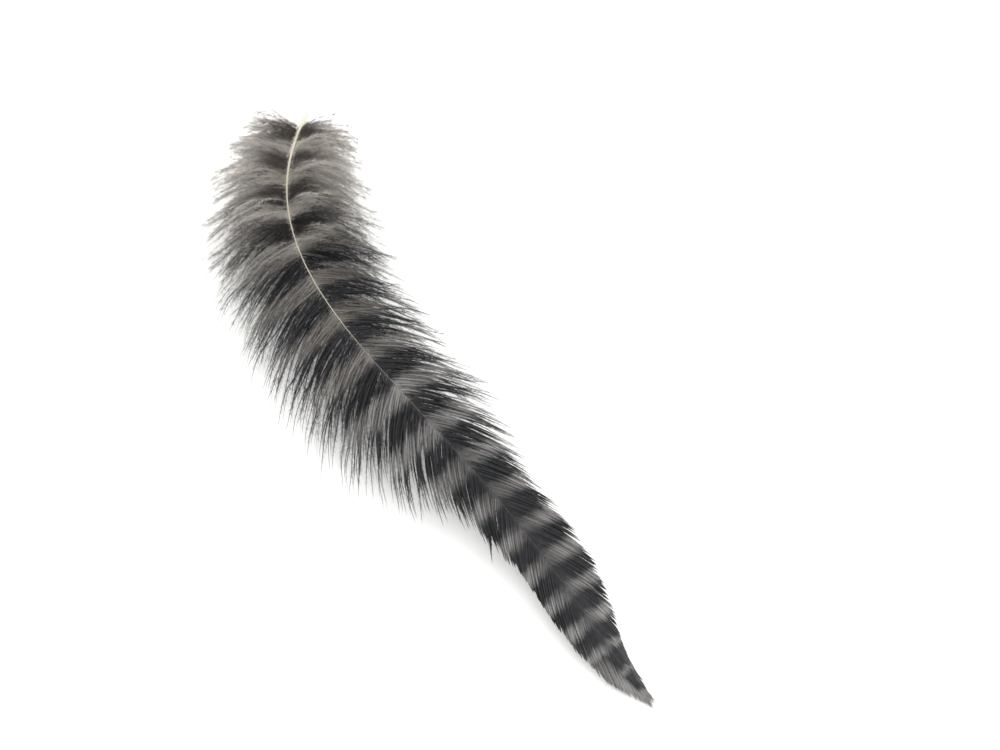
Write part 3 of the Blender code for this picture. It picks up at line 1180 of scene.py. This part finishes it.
@dataclass(frozen=True)
class PalePaper(Finish):
    """Matt white card, pressed smooth: an even pale ground with no gloss."""

    colour: str = "#fafaf8"
    deep_colour: str = "#f6f6f4"
    roughness: float = 0.9
    gloss: float = 0.1
    mottle_size: float = 12.0 * MM
    mottle_edges: Pair = (0.3, 0.7)

    def build(self, name: str) -> bpy.types.Material:
        """Make the material.

        Args:
            name: The material's name.

        Returns:
            The material.
        """
        material, tree, shader = self.start(name)
        where = add_node(tree, "ShaderNodeTexCoord", {}).outputs["Object"]
        clouds = {"Scale": 1.0 / self.mottle_size, "Vector": where}
        cloud = add_node(tree, "ShaderNodeTexNoise", clouds).outputs[0]
        share = self.changes(tree, {"mottle": (cloud, self.mottle_edges, (0.0, 1.0))})["mottle"]
        settings = {
            "Base Color": self.layers(tree, self.deep_colour, (share, self.colour)),
            "Roughness": self.roughness,
            "Specular IOR Level": self.gloss,
        }
        set_node(tree, shader, settings)
        return material


def set_piece(piece: bpy.types.Object) -> None:
    """Let a piece ride on the feather's body and stand for its solid, and report it.

    Args:
        piece: The piece, with its mesh and its finish.
    """
    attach(piece, BODY)
    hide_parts(NODE)
    triangles = sum(len(face.vertices) - 2 for face in piece.data.polygons)
    log.info("%s: %d triangles", piece.name, triangles)


@dataclass
class Quill:
    """The bare quill and the shaft that it runs out into."""

    shaft: ShaftLine
    sides: int = 16
    rings: int = 220
    tone: float = 0.5

    def build(self, material: bpy.types.Material) -> None:
        """Make the shaft's mesh and dress it.

        Args:
            material: The finish of its horn.
        """
        from_quill = np.linspace(0.0, self.shaft.length, self.rings)
        from_tip = self.shaft.length - from_quill
        radius = self.shaft.radius(from_tip)[None]
        up = np.broadcast_to(np.array([0.0, 0.0, 1.0]), (1, self.rings, 3))
        share = (from_quill / self.shaft.length)[None]
        line = self.shaft.at(from_tip)[None]
        one = np.ones(1)
        strand = Strands(line, radius, radius, up, share, share, self.tone * one, one)
        piece = strand.to_object("shaft", self.sides, material)
        piece.data.shade_smooth()
        set_piece(piece)


@dataclass(frozen=True)
class BarbRow:
    """One row of barbs on each side of the shaft: where it stands, how it looks and what side hairs it has.

    first and last are the distances of its end barbs from the shaft's tip, and spacing is between
    neighbours. thinning gives two such distances, and the shares of the barbs that are there.
    """

    name: str
    locks: LockRow
    first: float
    last: float
    spacing: float
    look: BarbLook
    barbules: Barbules
    thinning: tuple[Pair, Pair] = ((0.0, 1.0), (1.0, 1.0))

    def roots(self, rng: np.random.Generator) -> np.ndarray:
        """Stand the barbs along the shaft, a little unevenly.

        Args:
            rng: The random numbers, seeded.

        Returns:
            The distances of their roots from the shaft's tip.
        """
        roots = np.arange(self.first, self.last, self.spacing)
        roots = roots[rng.random(len(roots)) < np.interp(roots, *self.thinning)]
        moves = UNEVEN_SPACING * self.spacing * rng.normal(size=len(roots))
        return np.clip(roots + moves, FIRST_ROOT, None)


# The upper down is thin where more of it would hide the bars below
BARB_ROWS = (
    BarbRow("vane", VANE_ROW, 0.2 * MM, 72.0 * MM, 0.27 * MM, SURFACE_LOOK, SURFACE_BARBULES),
    BarbRow("side_down", SIDE_ROW, 70.0 * MM, 141.0 * MM, 0.27 * MM, SURFACE_LOOK, SURFACE_BARBULES),
    BarbRow("under_down", UNDER_ROW, 67.0 * MM, 140.0 * MM, 0.29 * MM, PLUSH_LOOK, PLUSH_BARBULES),
    BarbRow(
        "upper_down", UPPER_ROW, 92.0 * MM, 140.0 * MM, 0.24 * MM, PLUSH_LOOK, PLUSH_BARBULES,
        ((100.0 * MM, 114.0 * MM), (0.22, 1.0)),
    ),
)


@dataclass
class Plumage:
    """Every barb of the feather and the side hairs of each: close vane, loose fringe and down."""

    field: BarbField
    barb_finish: bpy.types.Material
    hair_finish: bpy.types.Material

    def build(self, row: BarbRow, rng: np.random.Generator) -> None:
        """Make one row's barbs and their side hairs, on both sides of the shaft.

        Args:
            row: The row of barbs.
            rng: The random numbers, seeded.
        """
        for side in Side:
            roots = row.roots(rng)
            barbs = self.field.grow(row.locks, side, roots, row.look, rng)
            hairs = row.barbules.grow(barbs, roots, self.field.floor_gap, rng)
            word = side.name.lower()
            set_piece(barbs.to_object(f"{row.name}_barbs_{word}", HAIR_SIDES, self.barb_finish))
            set_piece(hairs.to_object(f"{row.name}_barbules_{word}", HAIR_SIDES, self.hair_finish))


@dataclass(frozen=True)
class Studio:
    """A pale floor, soft light from above, and the camera at the photograph's viewing angle.

    The room's light comes evenly from all sides, and the window's from a square of window_size at
    window_place. camera_place is in the feather's own frame. azimuth turns the camera from looking along +Y
    towards +X, and elevation is how far it looks down, both in degrees.
    """

    floor_size: float = 4.0
    room_light: float = 1.6
    window_place: Triple = (0.8, 0.2, 0.75)
    window_size: float = 1.2
    window_watts: float = 3.5
    camera_place: Triple = (-38.44 * MM, -122.48 * MM, 169.5 * MM)
    azimuth: float = 27.08
    elevation: float = 52.0
    lens: float = 42.0
    sensor: float = 36.0
    near_clip: float = 10.0 * MM

    def build(self) -> None:
        """Make the floor, the light and the camera."""
        self.build_floor()
        self.build_light()
        self.build_camera()

    def build_floor(self) -> None:
        """Lay the floor under the feather."""
        half = self.floor_size / 2
        corners = [(-half, -half, 0), (half, -half, 0), (half, half, 0), (-half, half, 0)]
        mesh = bpy.data.meshes.new("floor")
        mesh.from_pydata(corners, [], [(0, 1, 2, 3)])
        mesh.materials.append(PalePaper().build("white_card"))
        floor = bpy.data.objects.new("floor", mesh)
        bpy.context.scene.collection.objects.link(floor)

    def build_light(self) -> None:
        """Fill the room with even white light, and hang a wide soft window beside the feather."""
        world = bpy.data.worlds.new("white_room")
        world.use_nodes = True
        background = world.node_tree.nodes["Background"]
        set_node(world.node_tree, background, {"Color": (1.0, 1.0, 1.0, 1.0), "Strength": self.room_light})
        bpy.context.scene.world = world
        data = bpy.data.lights.new("window", "AREA")
        data.size = self.window_size
        data.energy = self.window_watts
        window = bpy.data.objects.new("window", data)
        window.location = self.window_place
        window.rotation_euler = (-window.location).to_track_quat("-Z", "Y").to_euler()
        bpy.context.scene.collection.objects.link(window)
        bpy.context.scene.view_settings.view_transform = "Standard"

    def build_camera(self) -> None:
        """Put the camera where the photograph was taken from."""
        data = bpy.data.cameras.new("camera")
        data.lens = self.lens
        data.sensor_width = self.sensor
        data.clip_start = self.near_clip
        camera = bpy.data.objects.new("camera", data)
        camera.location = self.camera_place
        camera.rotation_euler = Euler((math.radians(90 - self.elevation), 0.0, -math.radians(self.azimuth)))
        bpy.context.scene.collection.objects.link(camera)
        bpy.context.scene.camera = camera


def main() -> None:
    """Build the feather around its solid, and the scene around the feather."""
    logging.basicConfig(level=logging.INFO, format="%(message)s")
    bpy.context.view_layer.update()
    Studio().build()
    shaft = ShaftLine()
    Quill(shaft).build(ShaftHorn().build("shaft_horn"))
    barb_keratin = BarredKeratin("#2a2826", (0.7, 0.95), 0.8, (14.7, 17.6))
    barbule_keratin = BarredKeratin("#a3a29f", (0.5, 0.9), 0.5, (10.6, 12.4))
    plumage = Plumage(
        BarbField(shaft, Growth(), BarRule()),
        barb_keratin.build("barred_barb_keratin"),
        barbule_keratin.build("barred_barbule_keratin"),
    )
    rng = np.random.default_rng(SEED)
    for row in BARB_ROWS:
        plumage.build(row, rng)


if __name__ == "__main__":
    main()
